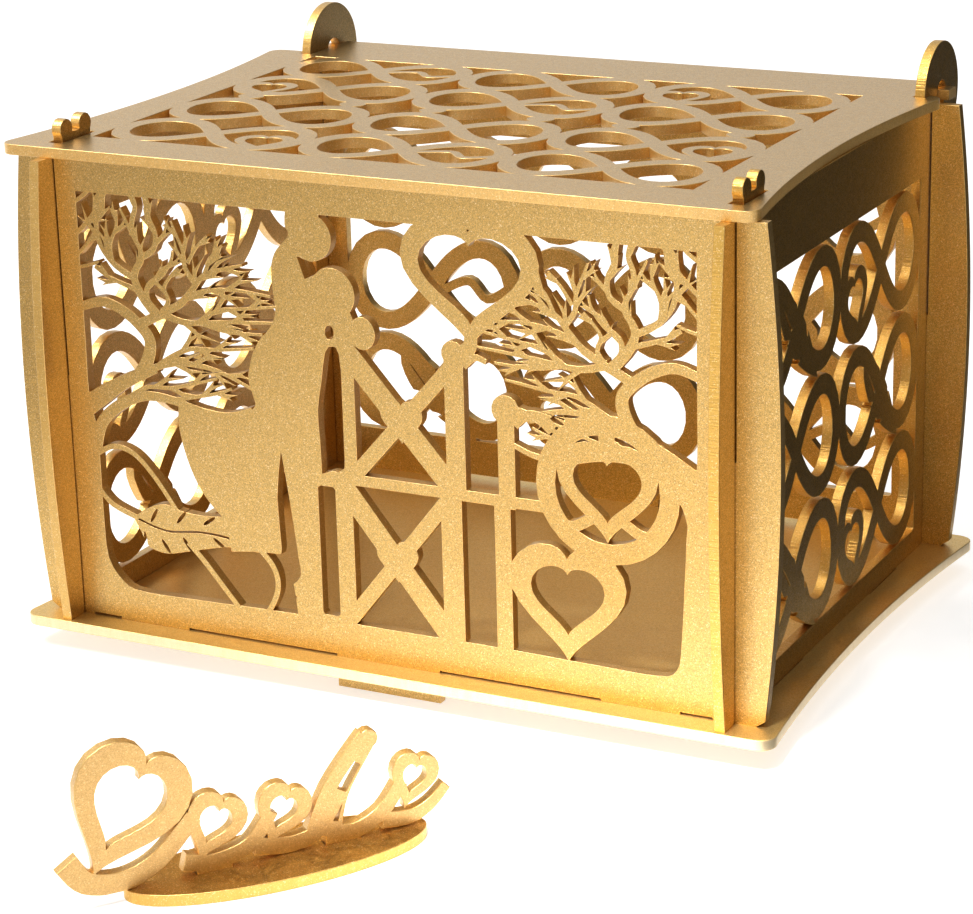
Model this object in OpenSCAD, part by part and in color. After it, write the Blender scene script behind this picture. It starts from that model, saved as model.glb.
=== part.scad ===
// Wedding card box cut from flat board: slotted side walls, a lid that turns
// on its own side tabs, and a small loose table sign. Millimetres.
// X runs to the right, Y to the back, Z up. The origin is the middle of the
// front foot's underside, on the table; the shapes below are drawn about the
// box's middle and moved back by seat().

/* [Overall size] */
// Thickness of every board
board = 4; // [3.6:0.1:4.4]
// Half the width over the outer faces of the side panels
half_x = 135; // [132:1:138]
// Half the depth over the outer faces of the front and back panels
half_y = 99.3; // [98:0.1:101]
// Height of the panels' top edge above the underside of the base
panel_top = 180.6; // [176:0.2:186]
// How far the two feet reach below the base
foot_drop = 8; // [5:0.5:10]
// Width of each foot
foot_width = 42; // [36:1:46]

/* [Wings and ribs] */
// How far the front and back panels reach past the side panels at top and bottom
wing = 11; // [9:0.5:12]
// Extra reach of each wing and rib at half height
bulge = 5.2; // [3:0.2:6]
// How far the side panels reach past the front and back panels at top and bottom
rib = 9; // [7:0.5:10]
// Height at which the crossing slots meet
slot_meet = 98; // [90:1:110]
// Play on each side of a board in a slot
play = 0.3; // [0.2:0.05:0.4]

/* [Hinge] */
// Distance of the hinge axis behind the box's middle
hinge_y = 107.2; // [106:0.2:108]
// Radius of the round ears
ear_r = 19.8; // [18:0.2:21]
// Radius of the hole in each ear
ear_hole_r = 5; // [4.8:0.1:5.6]
// Length of the hinge tabs beyond the ears
tab_out = 4.3; // [3:0.1:5]

/* [Lid] */
// Half the width of the lid at its narrowest
lid_half = 138.5; // [137:0.5:141]
// Extra half width of the lid at its front corners
lid_flare = 9.6; // [7:0.2:11]
// Sideways offset of the lid's outline and pattern
lid_shift = -4.6; // [-5:0.2:0]
// Distance of the lid's front edge from the box's middle
lid_front = 102.4; // [101:0.2:104]
// Distance of the lid's back edge from the box's middle
lid_back = 117.6; // [116:0.2:119]

/* [Base] */
// Half the width of the base at its narrowest
base_half = 145.8; // [143:0.2:148]
// Extra half width of the base at its corners
base_flare = 5.7; // [3:0.1:7]
// Half the depth of the base
base_y = 110; // [109:0.5:112]

/* [Pattern] */
// Width of the bands in the cut patterns
band_w = 7.6; // [6.8:0.2:8.4]
// Points along each curve between two guide points
fine = 5; // [3:1:7]

/* [Sign] */
// Angle of the sign on the table, from the box's front
sign_turn = 52.6; // [0:0.2:90]
// Sideways place of the sign
sign_x = 33.8; // [20:0.2:60]
// Distance of the sign in front of the box's middle
sign_y = -235.4; // [-280:0.2:-200]

/* [Hidden] */
gold = [0.82, 0.62, 0.30];
hinge_z = panel_top + board / 2;
wing_x = half_x + wing;
rib_y = half_y + rib;
tab_x = half_x + tab_out;
// middle of the side panels' boards, and of the front and back panels' boards
side_mid = half_x - board / 2;
panel_mid = half_y - board / 2;
// place and half length of the tabs under the front and back panels, the sides and the sign
panel_tab = 99.6;
side_tab = 50;
tab_half = 15;
sign_tab = 22;
sign_tab_half = 6;
// room around a tab in its slot, and around an ear or heart tab in the lid
tab_room = 0.15;
ear_room = 0.5;
heart_room = 0.6;
// half width of the square hinge tabs
hinge_half = 4;
// place and half length of the heart-topped tabs
heart_tab = -83.3;
heart_half = 9.1;

// ---- curve helpers ----
function guide(p, i) = p[max(0, min(i, len(p) - 1))];
function spline(p, i, t) =
    let (a = guide(p, i - 1), b = guide(p, i), c = guide(p, i + 1), d = guide(p, i + 2))
    0.5 * (2 * b + (c - a) * t + (2 * a - 5 * b + 4 * c - d) * t * t + (3 * b - a - 3 * c + d) * t * t * t);
function path(p, n) = concat([for (i = [0:len(p) - 2], k = [0:n - 1]) spline(p, i, k / n)], [p[len(p) - 1]]);
function along(q, i) = let (d = guide(q, i + 1) - guide(q, i - 1)) d / max(norm(d), 0.0001);
function across(q, i) = let (d = along(q, i)) [-d[1], d[0]];
function taper(w0, w1, i, n) = (w0 + (w1 - w0) * i / n) / 2;
function ribbon(q, w0, w1) =
    let (n = len(q) - 1)
    concat([for (i = [0:n]) q[i] + across(q, i) * taper(w0, w1, i, n)],
           [for (i = [n:-1:0]) q[i] - across(q, i) * taper(w0, w1, i, n)]);
function turned(v, a) = [v[0] * cos(a) - v[1] * sin(a), v[0] * sin(a) + v[1] * cos(a)];
function heart_line(w, h) =
    [for (t = [0:10:350])
        [w / 2 * pow(sin(t), 3), h / 26 * (13 * cos(t) - 3.2 * cos(2 * t) - 1.4 * cos(3 * t) - 0.6 * cos(4 * t) + 2.4)]];
function bow(x0, extra, z0, z1, n) =
    [for (i = [0:n]) [x0 + extra * (1 - pow(2 * i / n - 1, 2)), z0 + (z1 - z0) * i / n]];
function waist(x0, extra, y0, y1, n) =
    [for (i = [0:n]) let (y = y0 + (y1 - y0) * i / n) [x0 + extra * pow(y / 100, 2), y]];
function flip(p) = [for (i = [len(p) - 1:-1:0]) [-p[i][0], p[i][1]]];

module stroke(p, w0, w1) {
    polygon(ribbon(path(p, fine), w0, w1));
}

module box2(x0, x1, y0, y1) {
    translate([x0, y0]) square([x1 - x0, y1 - y0]);
}

// slot for a board that stands at x, with room on each side of it
module board_slot(x, room, y0, y1) {
    box2(x - board / 2 - room, x + board / 2 + room, y0, y1);
}

// hole for a tab that lies along X
module tab_hole(x, y, half) {
    box2(x - half - 0.2, x + half + 0.2, y - board / 2 - tab_room, y + board / 2 + tab_room);
}

module soft(r) {
    offset(r = r) offset(delta = -2 * r) offset(r = r) children();
}

// closes hair-thin gaps and drops hair-thin slivers, leaving straight edges where they are
module tidy() {
    offset(delta = 0.1) offset(delta = -0.35) offset(delta = 0.25, chamfer = true) children();
}

module heart_ring(w, h, rim) {
    difference() {
        polygon(heart_line(w, h));
        translate([0, rim * 0.16]) polygon(heart_line(w - 2.05 * rim, h - 2.2 * rim));
    }
}

// ---- the repeated pattern: a lying figure of eight ----
function eight(a, h, t) =
    let (s = sin(t), c = cos(t), q = 1 + s * s)
    [a * c / q, h * 2.828 * s * c / q];

module eight_band(a, h, w) {
    difference() {
        for (start = [-90, 90]) {
            offset(delta = w / 2) lobe(a, h, start);
        }
        for (start = [-90, 90]) {
            offset(delta = -w / 2) lobe(a, h, start);
        }
    }
}

module lobe(a, h, start) {
    polygon([for (k = [0:26]) eight(a, h, start + k * 180 / 27)]);
}

// a feather lying along +X with a slit for its vein and nicks in its edge
module feather(size, wide) {
    difference() {
        polygon(concat(
            [for (k = [0:12]) [size * k / 12, wide / 2 * pow(sin(180 * pow(k / 12, 0.8)), 0.8)]],
            [for (k = [11:-1:1]) [size * k / 12, -wide / 2 * pow(sin(180 * pow(k / 12, 0.8)), 0.8)]]));
        stroke([[size * 0.12, 0], [size * 0.4, -wide * 0.1], [size * 0.9, 0]], 0.9, 0.7);
        for (k = [0.34, 0.58, 0.8], s = [-1, 1]) {
            translate([size * k, s * wide * 0.47]) rotate(s * 140) scale([1, 0.22]) circle(wide * 0.24, $fn = 12);
        }
    }
}

// one figure of eight; kind 0 plain, 1 heart in the left loop, 2 feather,
// 3 wavy bar in the right loop, 4 heart in the right loop
module motif(a, h, w, kind) {
    eight_band(a, h, w);
    if (kind == 1 || kind == 4) {
        translate([(kind == 1 ? -1 : 1) * a * 0.66, -h * 0.42]) rotate(14) heart_ring(h * 1.34, h * 1.4, w * 0.62);
    }
    if (kind == 2) {
        translate([-a * 0.44, h * 0.8]) rotate(-46) feather(h * 2.9, w * 2.1);
    }
    if (kind == 3) {
        stroke([[a * 0.1, -h * 0.12], [a * 0.45, h * 0.2], [a * 0.68, -h * 0.2], [a * 0.95, h * 0.1]], w * 0.5, w * 0.5);
    }
}

// ---- tree ----
// A twig that leaves a branch at an angle and bends back along it.
module twig(p, heading, size, bend, w) {
    m = p + turned([size * 0.45, 0], heading);
    n = turned([0, w * 0.44], heading);
    o = turned([0, w * 0.5], heading);
    polygon([p + o, m + n, p + turned([size, 0], heading - bend), m - n, p - o]);
}

// A side shoot: a plain spike.
module spike(p, heading, size, w) {
    o = turned([0, w * 0.5], heading);
    polygon([p + o, p + turned([size, 0], heading), p - o]);
}

module branch(p, w0, w1, count, size, first) {
    q = path(p, 3);
    n = len(q) - 1;
    polygon(ribbon(q, w0, w1));
    for (k = [1:1:count]) {
        i = round(n * (0.1 + 0.74 * k / (count + 0.4)));
        s = (k % 2 == 0 ? 1 : -1) * first;
        d = along(q, i);
        a = atan2(d[1], d[0]);
        l = size * (1.5 - 0.6 * k / count);
        twig(q[i], a + s * 30, l, s * 14, 1.9);
        spike(q[i] + turned([l * 0.32, 0], a + s * 29), a + s * 44, l * 0.5, 1.7);
        spike(q[i] + turned([l * 0.46, 0], a + s * 29), a + s * 6, l * 0.5, 1.6);
    }
}

// The left tree; the right one is its mirror image.
module tree() {
    // trunk from the border, its lower limb and the arch back to the border
    stroke([[-128, 84], [-117, 91.5], [-106, 98.5], [-92, 105]], 9, 3.4);
    stroke([[-121, 70], [-117.5, 81], [-109, 89], [-98, 93.8], [-86, 93.6], [-74, 91], [-62, 90.6], [-52, 94]], 5.4, 1.8);
    stroke([[-100, 100.6], [-95.4, 108], [-94, 115.5], [-98.6, 121.2], [-106, 126], [-114, 128], [-124, 125]], 5.6, 3.4);
    stroke([[-98, 121], [-91, 124.6], [-86, 126.5]], 4, 3);
    // rising boughs
    branch([[-90, 125], [-97, 133], [-99, 140], [-95, 147], [-99, 155], [-103.5, 164]], 4.4, 1, 3, 9, 1);
    branch([[-96, 146], [-90, 150], [-89, 156], [-91.5, 162], [-93, 170]], 2.6, 1.6, 3, 9, 1);
    branch([[-99, 154], [-98.5, 160], [-96.8, 165], [-98.5, 171]], 2.4, 1.8, 1, 6, -1);
    branch([[-98.5, 138], [-107, 142.5], [-113, 150], [-114, 158], [-111.5, 165], [-110.5, 171]], 2.6, 1.6, 4, 11, 1);
    branch([[-108, 143], [-108.5, 150], [-105.5, 157], [-105, 163]], 1.9, 1, 3, 8, -1);
    branch([[-98.5, 134], [-105, 136], [-111, 138], [-116, 141]], 2.2, 1, 2, 7, -1);
    branch([[-90, 125.5], [-94, 131], [-93, 136.5], [-87, 140.5], [-83, 146], [-82, 150]], 2.8, 1, 3, 8, 1);
    branch([[-88, 126.5], [-85, 131], [-86.5, 136], [-83, 141], [-80, 144]], 2.2, 1, 2, 7, -1);
    branch([[-88, 126.5], [-80, 130.5], [-74, 137], [-69, 142.5], [-60, 145.5], [-53, 147.5]], 3.4, 1, 5, 11, 1);
    branch([[-73, 138.5], [-77, 144], [-77.5, 150], [-80, 156], [-82, 161]], 2.4, 1, 3, 9, -1);
    branch([[-69, 142.5], [-66, 149], [-61, 154]], 1.9, 1, 2, 8, 1);
    branch([[-76, 146], [-72, 152], [-67, 157]], 1.7, 1, 1, 6, 1);
    // drooping boughs
    branch([[-76, 134.4], [-66, 137], [-56, 138], [-42, 137]], 2, 1, 3, 12, 1);
    branch([[-88, 126], [-79, 123.8], [-70, 124.5], [-58, 126], [-40, 127.5]], 3, 1, 4, 12, 1);
    branch([[-71, 124.4], [-65, 129.5], [-56, 131], [-40, 133.5]], 1.9, 1, 3, 10, -1);
    branch([[-72, 124.2], [-60, 122], [-46, 122.6]], 1.8, 1, 2, 9, -1);
    branch([[-93, 104.5], [-86, 109.5], [-77, 114], [-66, 114.8], [-50, 117]], 2.6, 1, 4, 11, 1);
    branch([[-94, 104.8], [-84, 107.8], [-72, 108], [-61, 105.5], [-50, 101]], 2.8, 1.2, 4, 11, 1);
    branch([[-104, 93], [-96, 97.5], [-86, 98.2], [-76, 101], [-66, 104]], 2, 1, 3, 10, -1);
    branch([[-86, 93.6], [-76, 96], [-66, 98.5], [-60, 101]], 1.8, 1, 2, 9, -1);
    // twigs in the top corner
    branch([[-124, 152], [-118, 157.5], [-113, 164], [-111, 171]], 2, 1.2, 3, 9, 1);
    branch([[-124, 144], [-119, 149], [-115, 154]], 1.7, 1, 1, 7, 1);
    branch([[-124, 164], [-118, 168], [-114, 172]], 1.8, 1.2, 1, 6, -1);
    branch([[-124, 140], [-118, 141.5], [-114, 143]], 1.5, 0.9, 0, 6, 1);
}

// ---- the couple, with plain round heads, and the gown ----
module couple() {
    left = path([[-34, 172], [-34.8, 164], [-33.4, 160.4], [-36.4, 157], [-39.6, 153], [-41.2, 147], [-40.8, 138],
                 [-40.4, 131], [-43.4, 125], [-48, 120], [-51, 114], [-53, 106], [-51.4, 99.6], [-50.8, 95.4],
                 [-56, 92], [-66, 90.4]], 3);
    hem = path([[-83.4, 92.6], [-83.6, 83], [-81, 72], [-77, 62.6], [-72, 55.6], [-66, 50]], 3);
    difference() {
        union() {
            polygon(concat(left, hem, [[-64, 38], [-52, 39.6], [-42, 40], [-38, 28], [-36, 10], [-12, 10],
                [-12, 118], [-8, 124], [-8.6, 131.6], [-10, 135], [-14, 147], [-24, 147], [-30, 152.6], [-24, 155], [-20, 172]]));
            translate([-25, 160.2]) circle(8.7);
            translate([-17.2, 140.6]) circle(9.4);
            translate([-5.4, 127.4]) scale([1, 1.16]) circle(5.2);
        }
        polygon([[-30.4, 152.8], [-27.6, 145], [-24, 146.6], [-20, 150.2], [-22, 151.8], [-25, 151.4]]);
        translate([-18.6, 126.4]) scale([0.7, 1]) circle(2.6);
        // folds of the gown
        polygon(path([[-41, 78.4], [-43.2, 62], [-42.4, 42], [-44, 36], [-42, 27.4], [-38, 29.4], [-35, 33],
                      [-35.6, 40], [-38, 60], [-40.6, 78.4]], 2));
        polygon([[-44, 26], [-37, 24.6], [-38.4, 20.6], [-42, 18.4], [-52, 15.5]]);
        polygon(path([[-24, 73.4], [-24.2, 86], [-24.6, 97], [-22.6, 108], [-20.6, 119], [-17.6, 121.4],
                      [-15.2, 119], [-14.4, 106], [-14.4, 92], [-14.8, 76.6], [-19.6, 75]], 2));
        soft(1) box2(-26, -19, 19.4, 68.8);
    }
}

module feathers() {
    difference() {
        polygon(path([[-106, 45.6], [-103.6, 47.6], [-97, 51.4], [-91, 52.6], [-84, 50.8], [-74, 50.4], [-64, 51],
                      [-56, 46], [-52, 39.4], [-58, 40.2], [-67, 39.2], [-77, 36.8], [-84, 35], [-92, 33.2],
                      [-99.6, 34.6], [-103, 40], [-106, 45.6]], 3));
        stroke([[-104, 45.2], [-92, 42.2], [-78, 43.6], [-66, 43.2], [-57, 40.8]], 0.7, 0.9);
        for (p = [[-97, 47.6, 60], [-85, 48.4, 50], [-73, 48.6, 35], [-101.4, 37.4, 95], [-92.4, 36, 125], [-83, 38, 125],
                  [-69, 40.4, 145]]) {
            translate([p[0], p[1]]) rotate(p[2]) scale([1, 0.2]) circle(3.2, $fn = 12);
        }
    }
    stroke([[-121, 68.6], [-113, 72.6], [-104, 70.6], [-95.4, 62.4], [-87, 51]], 2.2, 2);
    stroke([[-121, 55.6], [-115, 49.6], [-104, 45.6]], 2.2, 2.2);
    stroke([[-82.6, 39], [-76, 32.4], [-69, 24.4], [-60, 14]], 2.4, 2.2);
    stroke([[-52, 41], [-46.6, 35], [-44.8, 29], [-46, 22.6], [-51, 14]], 2.4, 2.2);
}

// ---- garden gate, rosette and heart, in the lower right of the front ----
module gate() {
    for (p = [[-14.6, -9.4, 71, 122], [26.4, 34, 71, 124.4], [46.6, 53.2, 70, 104],
              [-19, -14.6, 14, 72], [23.6, 32, 14, 73], [44.6, 51, 14, 73]]) {
        box2(p[0], p[1], p[2], p[3]);
    }
    box2(-15, 66, 70.6, 74.8);
    for (p = [[-12, 30, 73, 120], [-17, 28, 16, 72]]) {
        stroke([[p[0], p[3]], [p[1], p[2]]], 8.4, 8.4);
        stroke([[p[0], p[2]], [p[1], p[3]]], 5.6, 5.6);
        translate([(p[0] + p[1]) / 2, (p[2] + p[3]) / 2]) heart_ring(17, 16, 6);
    }
    // post heads
    translate([49.9, 106]) circle(5.4);
    translate([30.2, 124]) circle(4.6);
    stroke([[34, 120], [38.6, 123.6], [43, 122.4]], 3, 2);
    stroke([[53, 101], [57, 104.6], [63, 104.6], [68, 101]], 3.6, 5);
    // rosette
    translate([88, 82]) {
        difference() {
            circle(27);
            circle(19.6);
        }
        translate([0, -1.6]) heart_ring(38, 36, 6);
        stroke([[0, 13], [0, 22]], 5, 7);
        for (s = [-1, 1]) {
            stroke([[s * 6, -11], [s * 12, -14.6], [s * 16, -15]], 4, 4);
        }
    }
    // heart below the rosette
    translate([72.4, 37.6]) heart_ring(45, 43, 8.2);
}

module front_art() {
    tree();
    mirror([1, 0]) tree();
    couple();
    feathers();
    gate();
    translate([37.3, 149.4]) heart_ring(53.4, 46, 6.9);
    stroke([[37.4, 131], [36.4, 126.6], [31, 123]], 5, 6);
    // lower right limb of the right tree closes onto the border
    stroke([[124, 80], [113, 92], [104, 99], [95, 103]], 5, 3);
}

module front_window() {
    polygon(path([[-122.2, 168.6], [-122.2, 140], [-122.2, 112], [-122.2, 92], [-119.6, 78], [-119.4, 62], [-119.4, 44],
                  [-118.4, 28], [-112, 19], [-104, 16.4], [-80, 16.6], [-40, 17.6], [0, 17.4], [40, 17.6], [80, 17],
                  [106, 16.8], [113.4, 20], [115.2, 30], [116.6, 56], [117.6, 74], [119.6, 84], [121.2, 96],
                  [121.2, 120], [121.2, 145], [121.2, 168.6]], 3));
}

// ---- outlines ----
// Front or back panel without its windows; lift is the gap left under its
// bottom edge between the tabs.
module cross_panel(lift) {
    edge = bow(wing_x, bulge, board + 2.4, panel_top, 24);
    difference() {
        union() {
            polygon(concat([[wing_x - 3.4, board]], edge, flip(edge), [[3.4 - wing_x, board]]));
            box2(-foot_width / 2, foot_width / 2, -foot_drop, board + 4);
            for (s = [-1, 1]) {
                box2(s * panel_tab - tab_half, s * panel_tab + tab_half, 0, board + 4);
            }
        }
        for (s = [-1, 1]) {
            box2(s * 52.8 - 31.6, s * 52.8 + 31.6, board - 1, board + lift);
            box2(s * 120.6 - 6, s * 120.6 + 6, board - 1, board + lift);
            board_slot(s * side_mid, play, slot_meet, panel_top + 5);
        }
    }
}

module side_outline() {
    front = bow(rib_y, bulge, board + 0.01, panel_top, 24);
    difference() {
        union() {
            polygon(concat(front, flip(front)));
            // heart-topped tab that shows above the lid
            for (s = [-1, 1]) {
                translate([heart_tab + 6 * s, panel_top + 8]) circle(3.9);
            }
            translate([heart_tab, panel_top]) {
                polygon([[-heart_half, -1], [heart_half, -1], [heart_half, 7.6], [0, 6.4], [-heart_half, 7.6]]);
            }
            for (s = [-1, 1]) {
                box2(s * side_tab - tab_half, s * side_tab + tab_half, 0, board + 4);
            }
        }
        for (s = [-1, 1]) {
            board_slot(s * panel_mid, play, -5, slot_meet);
        }
    }
}

module side_window() {
    soft(1) box2(-85, 85, 13, 154);
}

module side_art() {
    for (c = [0, 1], r = [0:2]) {
        kind = (c + r) % 2 == 0 ? 2 : 1;
        translate([c == 0 ? -43.3 : 42.3, 36.6 + 46.8 * r]) motif(39.8, 18.8, band_w, kind);
    }
}

module back_window() {
    soft(1) box2(-121.8, 121.8, 22, 154.6);
}

module back_art() {
    for (c = [0:2], r = [0:2]) {
        kind = [2, 1, 3, 0][(c + 2 * r) % 4];
        translate([-81.4 + 81.4 * c, 44 + 44.2 * r]) motif(37.4, 17.6, band_w, kind);
    }
}

module lid_edge_shape() {
    right = waist(lid_half, lid_flare, -lid_front, 91.4, 30);
    offset(r = 5) offset(delta = -5) {
        translate([lid_shift, 0]) polygon(concat(right, flip(right)));
    }
    box2(-half_x + board + 0.5, half_x - board - 0.5, 80, lid_back);
}

module lid_field() {
    translate([-7, 1.4]) box2(-119, 119, -81.7, 81.7);
}

module lid_art() {
    kinds = [[4, 0, 1, 3], [3, 0, 3, 0], [0, 4, 0, 1]];
    rows = [-60.4, -21, 25.4, 64];
    for (c = [0:2], r = [0:3]) {
        translate([-86.4 + 79.4 * c, rows[r]]) motif(36.9, 16.8, 6.8, kinds[c][r]);
    }
    // small hearts tie the two middle rows together
    for (c = [0:2], s = [-1, 1]) {
        translate([-86.4 + 79.4 * c + 22.5 * s, 1.6]) polygon(heart_line(11, 10));
    }
}

module lid_shape() {
    difference() {
        union() {
            difference() {
                lid_edge_shape();
                lid_field();
            }
            intersection() {
                lid_field();
                lid_art();
            }
            for (s = [-1, 1]) {
                box2(s > 0 ? 100 : -tab_x, s > 0 ? tab_x : -100, hinge_y - hinge_half, hinge_y + hinge_half);
            }
        }
        for (s = [-1, 1]) {
            // slots beside the hinge tabs for the ears
            board_slot(s * side_mid, ear_room, hinge_y - ear_r - 0.8, hinge_y - hinge_half);
            board_slot(s * side_mid, ear_room, hinge_y + hinge_half, lid_back + 5);
            // slots for the heart-topped tabs
            board_slot(s * side_mid, heart_room, heart_tab - heart_half - 2.2, heart_tab + heart_half + 1.8);
        }
    }
}

// ---- placing a flat shape ----
module upright_xz(y0) {
    translate([0, y0 + board, foot_drop]) rotate([90, 0, 0]) linear_extrude(board) children();
}

module upright_yz(x0) {
    translate([x0, 0, foot_drop]) rotate([90, 0, 90]) linear_extrude(board) children();
}

// ---- sub-parts ----
module base_plate() {
    right = waist(base_half, base_flare, -base_y, base_y, 24);
    color(gold) translate([0, 0, foot_drop]) linear_extrude(board) offset(delta = 0.0001) difference() {
        offset(r = 6) offset(delta = -6) polygon(concat(right, flip(right)));
        for (s = [-1, 1]) {
            tab_hole(0, s * panel_mid, foot_width / 2);
            for (k = [-1, 1]) {
                tab_hole(k * panel_tab, s * panel_mid, tab_half);
                board_slot(k * side_mid, tab_room, s * side_tab - tab_half - 0.2, s * side_tab + tab_half + 0.2);
            }
        }
    }
}

module front_panel() {
    color(gold) upright_xz(-half_y) tidy() {
        difference() {
            cross_panel(0.7);
            front_window();
        }
        intersection() {
            front_window();
            front_art();
        }
    }
}

module back_panel() {
    color(gold) upright_xz(half_y - board) tidy() {
        difference() {
            cross_panel(2.8);
            back_window();
        }
        intersection() {
            back_window();
            back_art();
        }
    }
}

module side_panel(x0) {
    color(gold) difference() {
        union() {
            upright_yz(x0) tidy() {
                difference() {
                    side_outline();
                    side_window();
                }
                intersection() {
                    side_window();
                    side_art();
                }
            }
            translate([x0, hinge_y, foot_drop + hinge_z]) rotate([0, 90, 0]) cylinder(h = board, r = ear_r, $fn = 96);
        }
        translate([x0 - 1, hinge_y, foot_drop + hinge_z]) rotate([0, 90, 0]) cylinder(h = board + 2, r = ear_hole_r, $fn = 64);
    }
}

module left_side_panel() {
    side_panel(-half_x);
}

module right_side_panel() {
    side_panel(half_x - board);
}

module lid() {
    color(gold) translate([0, 0, foot_drop + panel_top]) linear_extrude(board) tidy() lid_shape();
}

module sign_place() {
    translate([sign_x, sign_y, 0]) rotate(sign_turn) children();
}

module sign_base() {
    color(gold) sign_place() linear_extrude(board) difference() {
        scale([51.5, 18.7]) circle(1, $fn = 96);
        for (s = [-1, 1]) {
            tab_hole(s * sign_tab, 0, sign_tab_half);
        }
    }
}

// Running ornament: a large slanted heart, two small ones, a leaf and a tail.
module flourish() {
    translate([-51, 30]) rotate(-30) heart_ring(40, 44, 7.6);
    stroke([[-70, 17], [-64, 9.4], [-52, 7.4], [-40, 12], [-28, 24]], 8, 6);
    translate([-22, 18.6]) rotate(-26) heart_ring(21, 23, 4.8);
    stroke([[-32, 9], [-22, 7], [-10, 10], [-2, 20]], 6, 5);
    translate([1, 17.8]) rotate(-26) heart_ring(19, 21, 4.6);
    stroke([[-8, 9], [4, 7], [14, 10], [22, 22]], 6, 5);
    difference() {
        stroke([[15, 7], [20, 22], [32, 38.5]], 13, 7);
        stroke([[18.4, 12], [22, 21.6], [28, 30]], 4.4, 2.4);
    }
    translate([32, 37.4]) circle(3.4);
    stroke([[17, 8], [26, 6.6], [36, 11], [43, 20]], 6, 5);
    translate([47, 19.4]) rotate(-20) heart_ring(17, 19, 4.2);
    stroke([[36, 8], [46, 7.2], [53, 10], [59, 15.6]], 6, 3.4);
}

module sign_upright() {
    color(gold) sign_place() translate([0, board / 2, 0]) rotate([90, 0, 0]) linear_extrude(board) offset(delta = 0.0001) {
        intersection() {
            box2(-80, 70, board, 60);
            flourish();
        }
        for (s = [-1, 1]) {
            box2(s * sign_tab - sign_tab_half, s * sign_tab + sign_tab_half, 0, board + 3.4);
        }
    }
}

// from the box's middle to the front foot
module seat() {
    translate([0, half_y - board / 2, 0]) children();
}

seat() base_plate();
seat() front_panel();
seat() back_panel();
seat() left_side_panel();
seat() right_side_panel();
seat() lid();
seat() sign_base();
seat() sign_upright();
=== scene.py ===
import math

import bpy
import numpy as np
from mathutils import Matrix, Vector


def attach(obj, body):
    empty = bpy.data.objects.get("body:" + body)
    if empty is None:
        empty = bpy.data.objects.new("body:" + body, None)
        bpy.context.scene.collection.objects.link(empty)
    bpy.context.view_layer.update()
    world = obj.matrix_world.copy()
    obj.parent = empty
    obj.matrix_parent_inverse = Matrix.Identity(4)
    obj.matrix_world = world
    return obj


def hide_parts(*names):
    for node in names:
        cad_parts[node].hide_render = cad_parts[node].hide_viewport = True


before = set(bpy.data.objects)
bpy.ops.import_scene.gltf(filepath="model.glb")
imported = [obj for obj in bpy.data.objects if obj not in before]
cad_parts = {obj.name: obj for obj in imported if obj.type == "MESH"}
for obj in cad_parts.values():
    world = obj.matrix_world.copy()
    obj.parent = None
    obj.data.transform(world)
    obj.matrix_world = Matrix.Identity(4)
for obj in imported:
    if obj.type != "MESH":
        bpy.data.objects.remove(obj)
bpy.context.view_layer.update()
print("frame loaded:", len(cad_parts), "boards")

cameraPlan = {
    "place": (0.49195, -0.87459, 0.42245),
    "yaw": 27.265,        # degrees, turned to the left
    "pitch": 18.386,      # degrees, looking down
    "roll": -1.528,
    "lens": 110.573,      # mm on a 36 mm sensor
}


def addToScene(item):
    bpy.context.scene.collection.objects.link(item)
    return item


def makeCamera(plan):
    yaw, pitch, roll = (math.radians(plan[k]) for k in ("yaw", "pitch", "roll"))
    ahead = Vector((-math.sin(yaw) * math.cos(pitch), math.cos(yaw) * math.cos(pitch), -math.sin(pitch)))
    level = Vector((math.cos(yaw), math.sin(yaw), 0))
    over = level.cross(ahead)
    side = level * math.cos(roll) + over * math.sin(roll)
    up = over * math.cos(roll) - level * math.sin(roll)
    data = bpy.data.cameras.new("camera")
    data.lens, data.sensor_width = plan["lens"], 36
    data.clip_start, data.clip_end = 0.01, 100
    camera = addToScene(bpy.data.objects.new("camera", data))
    turn = Matrix((side, up, -ahead)).transposed().to_4x4()
    camera.matrix_world = Matrix.Translation(plan["place"]) @ turn
    bpy.context.scene.camera = camera


makeCamera(cameraPlan)
bpy.context.scene.view_settings.view_transform = "Standard"
bpy.context.scene.view_settings.gamma = 0.88


def newGroup(name, inputs, outputs):
    tree = bpy.data.node_groups.new(name, "ShaderNodeTree")
    for label, kind, value in inputs:
        socket = tree.interface.new_socket(name=label, in_out="INPUT", socket_type=kind)
        if value is not None:
            socket.default_value = value
    for label, kind in outputs:
        tree.interface.new_socket(name=label, in_out="OUTPUT", socket_type=kind)
    return tree, tree.nodes.new("NodeGroupInput"), tree.nodes.new("NodeGroupOutput")


def addNode(tree, kind, values=None, **settings):
    node = tree.nodes.new(kind)
    for key, value in settings.items():
        setattr(node, key, value)
    for key, value in (values or {}).items():
        node.inputs[key].default_value = value
    return node


def addMath(tree, operation, first, second, clamp=False):
    node = addNode(tree, "ShaderNodeMath", operation=operation, use_clamp=clamp)
    for socket, value in zip(node.inputs, (first, second)):
        if hasattr(value, "node"):
            tree.links.new(value, socket)
        else:
            socket.default_value = value
    return node.outputs[0]


def addMix(tree, kind, factor, first, second):
    node = addNode(tree, "ShaderNodeMix", data_type=kind)
    live = [s for s in node.inputs if s.enabled]
    for socket, value in zip(live, (factor, first, second)):
        if hasattr(value, "node"):
            tree.links.new(value, socket)
        else:
            socket.default_value = value
    return [s for s in node.outputs if s.enabled][0]


def rangeOf(tree, value, fromLow, fromHigh, toLow, toHigh):
    node = addNode(tree, "ShaderNodeMapRange", {
        "From Min": fromLow, "From Max": fromHigh, "To Min": toLow, "To Max": toHigh})
    tree.links.new(value, node.inputs["Value"])
    return node.outputs["Result"]


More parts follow.
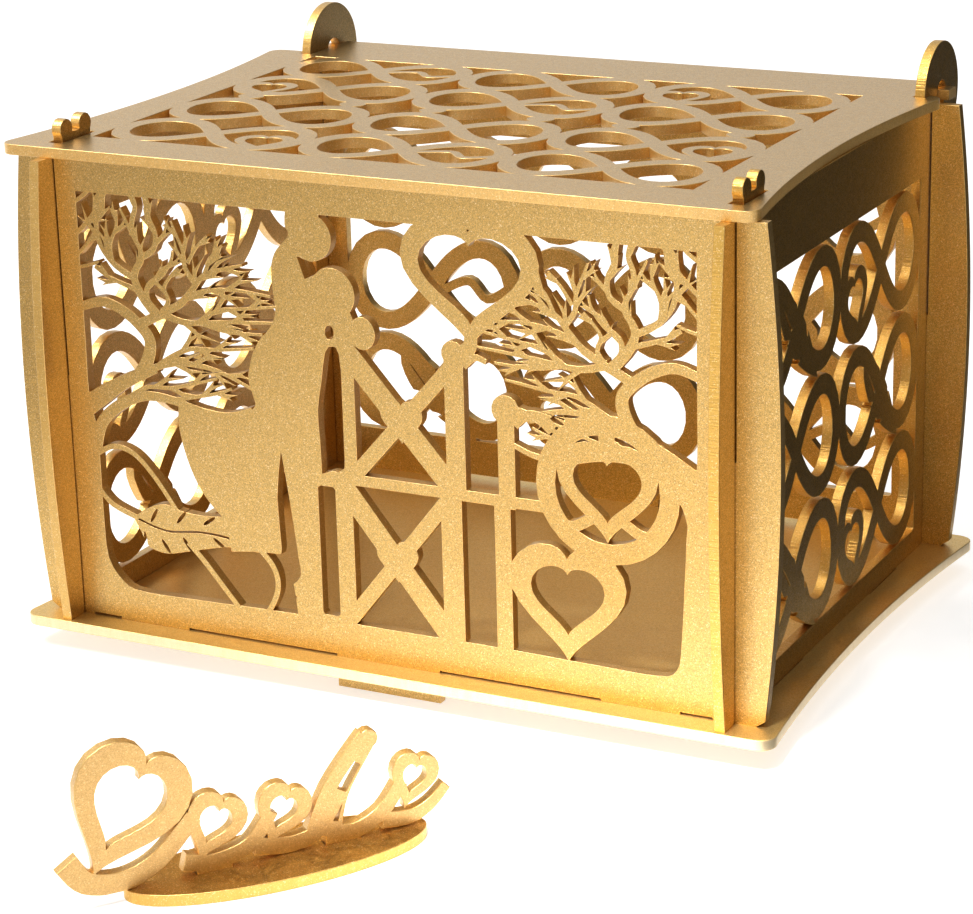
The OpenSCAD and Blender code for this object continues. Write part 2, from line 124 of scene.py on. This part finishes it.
# metal flakes in the paint: each small cell catches the light in its own way through its tilt, and the brightest
# cells are painted pale as painted glints
def makeFlakes():
    tree, start, end = newGroup(
        "metalFlakes",
        [("Vector", "NodeSocketVector", None), ("Size", "NodeSocketFloat", 3500.0),
         ("Fine", "NodeSocketFloat", 5200.0)],
        [("Spark", "NodeSocketFloat"), ("Tone", "NodeSocketFloat"), ("Height", "NodeSocketFloat")])
    cells = addNode(tree, "ShaderNodeTexVoronoi", {"Randomness": 1.0}, feature="F1")
    grit = addNode(tree, "ShaderNodeTexNoise", {"Detail": 2.0, "Roughness": 0.7})
    for node, size in ((cells, "Size"), (grit, "Fine")):
        tree.links.new(start.outputs["Vector"], node.inputs["Vector"])
        tree.links.new(start.outputs[size], node.inputs["Scale"])
    split = addNode(tree, "ShaderNodeSeparateColor")
    tree.links.new(cells.outputs["Color"], split.inputs["Color"])
    # the brightest tenth of the cells, where a glint is painted
    spark = rangeOf(tree, split.outputs["Red"], 0.90, 1.0, 0.0, 1.0)
    tone = addMath(tree, "ADD", addMath(tree, "MULTIPLY", split.outputs["Green"], 0.65),
                   addMath(tree, "MULTIPLY", grit.outputs["Fac"], 0.35))
    height = addMath(tree, "ADD", addMath(tree, "MULTIPLY", split.outputs["Green"], 0.6),
                     addMath(tree, "MULTIPLY", grit.outputs["Fac"], 0.8))
    tree.links.new(spark, end.inputs["Spark"])
    tree.links.new(tone, end.inputs["Tone"])
    tree.links.new(height, end.inputs["Height"])
    return tree


# uneven paint: broad clouds from spraying and a slight orange peel
def makeClouds():
    tree, start, end = newGroup(
        "paintClouds",
        [("Vector", "NodeSocketVector", None), ("Broad", "NodeSocketFloat", 14.0),
         ("Peel", "NodeSocketFloat", 420.0)],
        [("Cloud", "NodeSocketFloat"), ("Peel", "NodeSocketFloat")])
    broad = addNode(tree, "ShaderNodeTexNoise", {"Detail": 3.0, "Roughness": 0.55, "Distortion": 0.4})
    peel = addNode(tree, "ShaderNodeTexNoise", {"Detail": 1.0, "Roughness": 0.5})
    for node, size in ((broad, "Broad"), (peel, "Peel")):
        tree.links.new(start.outputs["Vector"], node.inputs["Vector"])
        tree.links.new(start.outputs[size], node.inputs["Scale"])
    tree.links.new(rangeOf(tree, broad.outputs["Fac"], 0.3, 0.7, 0.0, 1.0), end.inputs["Cloud"])
    tree.links.new(peel.outputs["Fac"], end.inputs["Peel"])
    return tree


# ridges that the cutting beam leaves across a cut wall
def makeRidges():
    tree, start, end = newGroup(
        "beamRidges",
        [("Vector", "NodeSocketVector", None), ("Pitch", "NodeSocketFloat", 1700.0),
         ("Scorch", "NodeSocketFloat", 420.0)],
        [("Ridge", "NodeSocketFloat"), ("Scorch", "NodeSocketFloat")])
    ridge = addNode(tree, "ShaderNodeTexNoise", {"Detail": 1.5, "Roughness": 0.6})
    scorch = addNode(tree, "ShaderNodeTexNoise", {"Detail": 3.0, "Roughness": 0.65})
    for node, size in ((ridge, "Pitch"), (scorch, "Scorch")):
        tree.links.new(start.outputs["Vector"], node.inputs["Vector"])
        tree.links.new(start.outputs[size], node.inputs["Scale"])
    tree.links.new(rangeOf(tree, ridge.outputs["Fac"], 0.3, 0.7, 0.0, 1.0), end.inputs["Ridge"])
    tree.links.new(rangeOf(tree, scorch.outputs["Fac"], 0.35, 0.7, 0.0, 1.0), end.inputs["Scorch"])
    return tree


flakes, clouds, ridges = makeFlakes(), makeClouds(), makeRidges()
print("shared effects made")

goldPlan = {
    "face": (0.86, 0.565, 0.18, 1),       # the light flakes
    "faceDeep": (0.49, 0.295, 0.065, 1),  # the paint between them
    # painted glint: the pale colour of the brightest flakes
    "spark": (1.0, 0.80, 0.45, 1),
    "wall": (0.84, 0.54, 0.155, 1),
    "wallDeep": (0.78, 0.48, 0.13, 1),
    # painted highlight: a lighter colour along the middle of each rounded edge
    "rim": (0.84, 0.56, 0.21, 1),
    "sparkShare": 0.85,
    "cloudShare": 0.12,
    "rimShare": 0.6,
    "faceRough": (0.30, 0.42),
    "wallRough": (0.32, 0.44),
    "bump": 0.55,
    "bumpDepth": 0.00012,                 # metres
    "flakeHeight": 0.5,
    "peelHeight": 0.5,
    "ridgeShare": 1.0,
    "wallGrit": 0.7,                      # how much of the flakes shows on a cut wall
    "wallSpark": 0.8,
    "wallFlakeHeight": 0.4,
    "flakeSize": 3500.0,                  # flakes per metre
    "faceMetal": 1.0,
    "wallMetal": 0.9,                     # a cut wall soaks up paint and stays more matt
    "coat": 0.9,
    "coatRough": 0.36,
    "coatIndex": 1.6,
}


def goldPaint(name, stretch, turn=0.0, changes=None):
    plan = dict(goldPlan, **(changes or {}))
    material = bpy.data.materials.new(name)
    material.use_nodes = True
    tree = material.node_tree
    tree.nodes.clear()
    link = tree.links.new
    where = addNode(tree, "ShaderNodeTexCoord")
    level = addNode(tree, "ShaderNodeMapping", {"Rotation": (0, 0, turn)})
    across = addNode(tree, "ShaderNodeMapping", {"Scale": stretch})
    link(where.outputs["Object"], level.inputs["Vector"])
    link(level.outputs["Vector"], across.inputs["Vector"])
    flake = addNode(tree, "ShaderNodeGroup", node_tree=flakes)
    flake.inputs["Size"].default_value = plan["flakeSize"]
    cloud = addNode(tree, "ShaderNodeGroup", node_tree=clouds)
    ridge = addNode(tree, "ShaderNodeGroup", node_tree=ridges)
    link(where.outputs["Object"], flake.inputs["Vector"])
    link(where.outputs["Object"], cloud.inputs["Vector"])
    link(across.outputs["Vector"], ridge.inputs["Vector"])
    wall = addNode(tree, "ShaderNodeAttribute", attribute_name="cutWall").outputs["Fac"]
    rim = addNode(tree, "ShaderNodeAttribute", attribute_name="rim").outputs["Fac"]

    def tint(below, mask, share, colour):
        return addMix(tree, "RGBA", addMath(tree, "MULTIPLY", mask, plan[share]), below, plan[colour])

    flakeTone = rangeOf(tree, flake.outputs["Tone"], 0.15, 0.85, 0.0, 1.0)
    face = addMix(tree, "RGBA", flakeTone, plan["faceDeep"], plan["face"])
    face = tint(face, cloud.outputs["Cloud"], "cloudShare", "wallDeep")
    # the brightest flakes are painted pale, a painted glint, here and on the cut walls below
    face = tint(face, flake.outputs["Spark"], "sparkShare", "spark")
    cut = addMix(tree, "RGBA", ridge.outputs["Scorch"], plan["wall"], plan["wallDeep"])
    cut = tint(cut, flake.outputs["Tone"], "wallGrit", "faceDeep")
    cut = tint(cut, flake.outputs["Spark"], "wallSpark", "spark")
    # the middle of each rounded edge is painted lighter, a painted highlight
    colour = tint(addMix(tree, "RGBA", wall, face, cut), rim, "rimShare", "rim")

    faceRough = rangeOf(tree, cloud.outputs["Peel"], 0.3, 0.7, *plan["faceRough"])
    wallRough = rangeOf(tree, ridge.outputs["Ridge"], 0.0, 1.0, *plan["wallRough"])
    rough = addMix(tree, "FLOAT", wall, faceRough, wallRough)
    metal = addMix(tree, "FLOAT", wall, plan["faceMetal"], plan["wallMetal"])

    def bothHeights(first, firstShare, second, secondShare):
        return addMath(tree, "ADD", addMath(tree, "MULTIPLY", first, plan[firstShare]),
                       addMath(tree, "MULTIPLY", second, plan[secondShare]))

    faceHeight = bothHeights(flake.outputs["Height"], "flakeHeight", cloud.outputs["Peel"], "peelHeight")
    wallHeight = bothHeights(ridge.outputs["Ridge"], "ridgeShare", flake.outputs["Height"], "wallFlakeHeight")
    height = addMix(tree, "FLOAT", wall, faceHeight, wallHeight)
    bump = addNode(tree, "ShaderNodeBump", {"Strength": plan["bump"], "Distance": plan["bumpDepth"]})
    link(height, bump.inputs["Height"])

    shader = addNode(tree, "ShaderNodeBsdfPrincipled", {
        "Coat Weight": plan["coat"], "Coat Roughness": plan["coatRough"], "Coat IOR": plan["coatIndex"]})
    link(colour, shader.inputs["Base Color"])
    link(rough, shader.inputs["Roughness"])
    link(metal, shader.inputs["Metallic"])
    link(bump.outputs["Normal"], shader.inputs["Normal"])
    link(shader.outputs["BSDF"], addNode(tree, "ShaderNodeOutputMaterial").inputs["Surface"])
    return material


# A cut board with softly rounded edges. Its outline is the CAD board's own: each point of a flat face
# is drawn in along its mitre, and rows of points between the face and the cut wall follow a quarter
# circle: inward = soft * (1 - cos t), up the wall = soft * sin t, for t from 0 to a right angle.
edgePlan = {
    "rows": 2,             # rows of faces over the rounded edge
    "match": 0.0000005,    # metres, points closer than this are one point
    "flat": 0.9,           # a triangle that faces this much through the board is part of a flat face
    "sharp": 38,           # degrees, an outline that turns more than this keeps its corner
    "mitre": 0.45,         # the least divisor of a mitre, so that a sharp tip is not drawn in too far
    "tries": 8,
    "shrink": 0.4,         # what is left of the reach each time a thin tip folds over
    "fold": 0.04,          # a flat triangle that keeps less than this share of its area has folded
}


def readBoard(node):
    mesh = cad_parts[node].data
    mesh.calc_loop_triangles()
    places = np.empty(len(mesh.vertices) * 3)
    mesh.vertices.foreach_get("co", places)
    corners = np.empty(len(mesh.loop_triangles) * 3, np.int64)
    mesh.loop_triangles.foreach_get("vertices", corners)
    places = places.reshape(-1, 3)
    cells = np.round(places / edgePlan["match"]).astype(np.int64)
    _, first, same = np.unique(cells, axis=0, return_index=True, return_inverse=True)
    corners = same.reshape(-1)[corners].reshape(-1, 3)
    whole = (corners[:, 0] != corners[:, 1]) & (corners[:, 1] != corners[:, 2]) & (corners[:, 2] != corners[:, 0])
    return places[first], corners[whole]


def unit(rows):
    return rows / np.maximum(np.linalg.norm(rows, axis=-1, keepdims=True), 1e-12)


def makeBoard(name, node, body, material, soft):
    rows = edgePlan["rows"]
    points, corners = readBoard(node)
    normals = np.cross(points[corners[:, 1]] - points[corners[:, 0]], points[corners[:, 2]] - points[corners[:, 0]])
    sizes = np.linalg.norm(normals, axis=1)
    spread = np.einsum("ij,ik->jk", normals, normals / np.maximum(sizes, 1e-16)[:, None])
    through = np.linalg.eigh(spread)[1][:, -1]        # the way through the board
    along = unit(normals) @ through
    caps = np.abs(along) > edgePlan["flat"]
    facing = np.sign((points - points.mean(0)) @ through)      # which flat face a point is on
    count = len(points)

    # directed outline of both flat faces, the board on its left
    flat = corners[caps]
    edges = np.concatenate([flat[:, [0, 1]], flat[:, [1, 2]], flat[:, [2, 0]]])
    code, back = edges[:, 0] * count + edges[:, 1], edges[:, 1] * count + edges[:, 0]
    outline = edges[~np.isin(code, back)]
    a, b = outline.T
    run = unit(points[b] - points[a])
    out = unit(np.cross(run, through * facing[a][:, None]))
    after, before = np.zeros((count, 3)), np.zeros((count, 3))
    after[a], before[b] = out, out
    mitre = (after + before) / np.maximum(1 + (after * before).sum(1), edgePlan["mitre"])[:, None]

    # draw the flat faces in, less where a tip is too thin for it
    reach = np.full(count, soft)
    up = through * facing[:, None]
    for _ in range(edgePlan["tries"]):
        moved = points - mitre * reach[:, None]
        tilt = np.cross(moved[flat[:, 1]] - moved[flat[:, 0]], moved[flat[:, 2]] - moved[flat[:, 0]])
        bad = (tilt * up[flat[:, 0]]).sum(1) <= edgePlan["fold"] * sizes[caps]
        if not bad.any():
            break
        reach[np.unique(flat[bad])] *= edgePlan["shrink"]

    levels = []
    for row in range(rows + 1):
        t = 0.5 * math.pi * row / rows
        levels.append(points - mitre * (reach * (1 - math.cos(t)))[:, None] - up * (soft * (1 - math.sin(t))))
    places = np.concatenate(levels)
    walls = corners[~caps]
    strips = [np.stack([a + row * count, b + row * count, b + (row + 1) * count, a + (row + 1) * count], 1)
              for row in range(rows)]

    # corner normals: round on curves, sharp at real corners
    like = (after * before).sum(1) > math.cos(math.radians(edgePlan["sharp"]))
    mean = unit(after + before)
    startOut = np.where(like[a][:, None], mean[a], out)
    endOut = np.where(like[b][:, None], mean[b], out)
    wallFlat = unit(normals[~caps])
    wallNormals = np.repeat(wallFlat[:, None], 3, 1)
    near = mean[walls]
    smooth = like[walls] & ((near * wallNormals).sum(2) > edgePlan["flat"])
    wallNormals = np.where(smooth[:, :, None], near, wallNormals)
    stripNormals = []
    for row in range(rows):
        low, high = (0.5 * math.pi * k / rows for k in (row, row + 1))
        four = [startOut * math.cos(low) + up[a] * math.sin(low), endOut * math.cos(low) + up[b] * math.sin(low),
                endOut * math.cos(high) + up[b] * math.sin(high), startOut * math.cos(high) + up[a] * math.sin(high)]
        stripNormals.append(np.stack(four, 1))
    capNormals = np.repeat(up[flat[:, 0]][:, None], 3, 1)

    threes = np.concatenate([flat + rows * count, walls])
    fours = np.concatenate(strips)
    used, packed = np.unique(np.concatenate([threes.ravel(), fours.ravel()]), return_inverse=True)
    cornerTotal = threes.size + fours.size
    starts = np.concatenate([np.arange(0, threes.size, 3), threes.size + np.arange(0, fours.size, 4)])

    mesh = bpy.data.meshes.new(name)
    mesh.vertices.add(len(used))
    mesh.vertices.foreach_set("co", places[used].astype(np.float32).ravel())
    mesh.loops.add(cornerTotal)
    mesh.loops.foreach_set("vertex_index", packed.reshape(-1).astype(np.int32))
    mesh.polygons.add(len(starts))
    mesh.polygons.foreach_set("loop_start", starts.astype(np.int32))
    mesh.update(calc_edges=True)
    mesh.validate()
    mesh.polygons.foreach_set("use_smooth", np.ones(len(mesh.polygons), bool))
    level = used // count
    # cutWall is the wall share of each point; the second mask marks the middle of each rounded edge, where a
    # highlight is painted
    for label, values in (("cutWall", 1 - level / rows), ("rim", np.sin(math.pi * level / rows))):
        mesh.attributes.new(label, "FLOAT", "POINT").data.foreach_set("value", values.astype(np.float32))
    if len(mesh.loops) == cornerTotal:
        shading = np.concatenate([capNormals.reshape(-1, 3), wallNormals.reshape(-1, 3),
                                  np.concatenate(stripNormals).reshape(-1, 3)])
        mesh.normals_split_custom_set(unit(shading))
    else:
        print(name, "lost some faces when checked:", cornerTotal - len(mesh.loops))
    piece = addToScene(bpy.data.objects.new(name, mesh))
    mesh.materials.append(material)
    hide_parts(node)
    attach(piece, body)
    print("board", name, len(mesh.polygons), "faces, thin tips:", int((reach < soft).sum()))
    return piece


flatAcross = (1, 1, 0.04)      # ridges run through a lying board
frontAcross = (1, 0.04, 1)     # through the front and back boards
sideAcross = (0.04, 1, 1)      # through the side boards
signTurn = math.radians(-52.6)      # brings the sign's own length back onto X

boards = {
    # the base board is painted lighter and paler than the other boards, on faces and cut walls: painted light for the
    # bright light on the low front of the box
    "base_board": {"node": "base_plate", "body": "box", "across": flatAcross, "soft": 0.00035,
                   "changes": {"coat": 0.2, "coatIndex": 1.8, "faceMetal": 0.85, "face": (0.98, 0.70, 0.27, 1),
                               "faceDeep": (0.74, 0.49, 0.15, 1), "wall": (1.0, 0.84, 0.58, 1),
                               "wallDeep": (0.96, 0.77, 0.50, 1), "wallMetal": 0.7, "wallGrit": 0.3,
                               "ridgeShare": 0.6}},
    "front_board": {"node": "front_panel", "body": "box", "across": frontAcross, "soft": 0.0002,
                    "changes": {"coat": 0.95, "coatIndex": 1.8, "face": (0.79, 0.505, 0.13, 1),
                                "faceDeep": (0.43, 0.255, 0.047, 1)}},
    "back_board": {"node": "back_panel", "body": "box", "across": frontAcross, "soft": 0.0003,
                   "changes": {"coat": 0.5}},
    "left_board": {"node": "left_side_panel", "body": "box", "across": sideAcross, "soft": 0.0003},
    "right_board": {"node": "right_side_panel", "body": "box", "across": sideAcross, "soft": 0.0003,
                    "changes": {"coat": 0.15, "wallRough": (0.28, 0.40), "ridgeShare": 1.5}},
    # the lid's cut walls are painted lighter than the other boards' walls: painted light for the lit walls of its
    # holes
    "lid_board": {"node": "lid", "body": "lid", "across": flatAcross, "soft": 0.0003,
                  "changes": {"coat": 1.0, "coatIndex": 1.7, "wall": (0.95, 0.60, 0.19, 1),
                              "wallDeep": (0.88, 0.54, 0.16, 1), "wallMetal": 0.65}},
    "sign_foot": {"node": "sign_base", "body": "sign", "across": flatAcross, "soft": 0.0003,
                  "changes": {"face": (0.76, 0.46, 0.13, 1), "faceDeep": (0.46, 0.26, 0.055, 1), "coat": 0.15,
                              "cloudShare": 0.03, "wallGrit": 0.4, "ridgeShare": 0.6}},
    "sign_ornament": {"node": "sign_upright", "body": "sign", "across": frontAcross, "turn": signTurn,
                      "soft": 0.0003,
                      "changes": {"face": (0.68, 0.43, 0.155, 1), "faceDeep": (0.50, 0.30, 0.095, 1),
                                  "sparkShare": 0.45}},
}
for name, plan in boards.items():
    paint = goldPaint(name + "_paint", plan["across"], plan.get("turn", 0.0), plan.get("changes"))
    makeBoard(name, plan["node"], plan["body"], paint, plan["soft"])
print("boards made")

# pale paper on a light table
floorPlan = {"half": 14.0, "colour": (0.50, 0.50, 0.50, 1), "rough": 0.9, "glow": 0.64}


def makeFloor(plan):
    half = plan["half"]
    mesh = bpy.data.meshes.new("floor")
    mesh.from_pydata([(-half, -half, 0), (half, -half, 0), (half, half, 0), (-half, half, 0)], [], [(0, 1, 2, 3)])
    floor = addToScene(bpy.data.objects.new("floor", mesh))
    material = bpy.data.materials.new("palePaper")
    material.use_nodes = True
    shader = material.node_tree.nodes["Principled BSDF"]
    shader.inputs["Base Color"].default_value = plan["colour"]
    shader.inputs["Roughness"].default_value = plan["rough"]
    shader.inputs["Emission Color"].default_value = (1, 1, 1, 1)
    shader.inputs["Emission Strength"].default_value = plan["glow"]
    mesh.materials.append(material)


def aimAt(item, place, aim):
    item.location = place
    item.rotation_mode = "QUATERNION"
    item.rotation_quaternion = (Vector(aim) - Vector(place)).to_track_quat("-Z", "Y")


def makeSoftbox(place, aim, size, power):
    data = bpy.data.lights.new("keySoftbox", "AREA")
    data.shape, data.size, data.energy = "SQUARE", size, power
    aimAt(addToScene(bpy.data.objects.new("keySoftbox", data)), place, aim)


# a soft-edged spot on the floor before the box, which the foot of the front board mirrors
def makePool(place, aim, power, cone, radius):
    data = bpy.data.lights.new("floorPool", "SPOT")
    data.energy, data.shadow_soft_size = power, radius
    data.spot_size, data.spot_blend = math.radians(cone), 1.0
    aimAt(addToScene(bpy.data.objects.new("floorPool", data)), place, aim)


def makeSun(place, aim, strength, spread):
    data = bpy.data.lights.new("overheadSun", "SUN")
    data.energy, data.angle = strength, math.radians(spread)
    aimAt(addToScene(bpy.data.objects.new("overheadSun", data)), place, aim)


# cards that only reflections see: they dim what the right side and the left of the front mirror
def makeCard(name, corners, shade):
    mesh = bpy.data.meshes.new(name)
    mesh.from_pydata(corners, [], [tuple(range(len(corners)))])
    card = addToScene(bpy.data.objects.new(name, mesh))
    material = bpy.data.materials.new(name + "_felt")
    material.use_nodes = True
    shader = material.node_tree.nodes["Principled BSDF"]
    shader.inputs["Base Color"].default_value = (shade, shade * 0.9, shade * 0.8, 1)      # warm felt
    shader.inputs["Roughness"].default_value = 1.0
    mesh.materials.append(material)
    card.visible_camera = card.visible_diffuse = card.visible_shadow = card.visible_transmission = False


softboxPlan = {"place": (-0.68, -0.42, 1.3), "aim": (0.0, 0.03, 0.1), "size": 0.45, "power": 16}
poolPlan = {"place": (0.08, -0.55, 1.2), "aim": (0.10, -0.08, 0.0), "power": 165, "cone": 15, "radius": 0.08}
sunPlan = {"place": (-0.05, 0.1, 2.0), "aim": (0, 0, 0), "strength": 0.8, "spread": 60}
cards = {
    "leftCard": {"corners": [(-1.6, -1.0, 0.004), (-0.27, -1.0, 0.004), (-0.22, -0.14, 0.004), (-1.6, -0.1, 0.004)],
                 "shade": 0.3},
    "floorCard": {"corners": [(0.155, -0.08, 0.004), (1.9, 0.2, 0.004), (1.9, 2.2, 0.004), (0.3, 2.2, 0.004),
                              (0.17, 0.9, 0.004)], "shade": 0.008},
    "backCard": {"corners": [(0.15, 1.55, 0.0), (1.9, 0.5, 0.0), (1.9, 0.5, 2.2), (0.15, 1.55, 2.2)], "shade": 0.008},
}


worldPlan = {"strength": 0.84, "leftEnd": -0.8, "rightEnd": 0.9, "rightShare": 0.35, "colour": (1, 0.985, 0.96, 1)}


def makeWorld(plan):
    world = bpy.data.worlds.new("studio")
    bpy.context.scene.world = world
    world.use_nodes = True
    tree = world.node_tree
    ground = tree.nodes["Background"]
    where = addNode(tree, "ShaderNodeTexCoord")
    split = addNode(tree, "ShaderNodeSeparateXYZ")
    tree.links.new(where.outputs["Generated"], split.inputs[0])
    # brighter towards the left, dimmer towards the right
    share = rangeOf(tree, split.outputs["X"], plan["leftEnd"], plan["rightEnd"], 1.0, plan["rightShare"])
    tree.links.new(addMath(tree, "MULTIPLY", share, plan["strength"]), ground.inputs["Strength"])
    ground.inputs["Color"].default_value = plan["colour"]


makeFloor(floorPlan)
makeSoftbox(**softboxPlan)
for name, plan in cards.items():
    makeCard(name, **plan)
makePool(**poolPlan)
makeSun(**sunPlan)
makeWorld(worldPlan)
print("floor and light made")
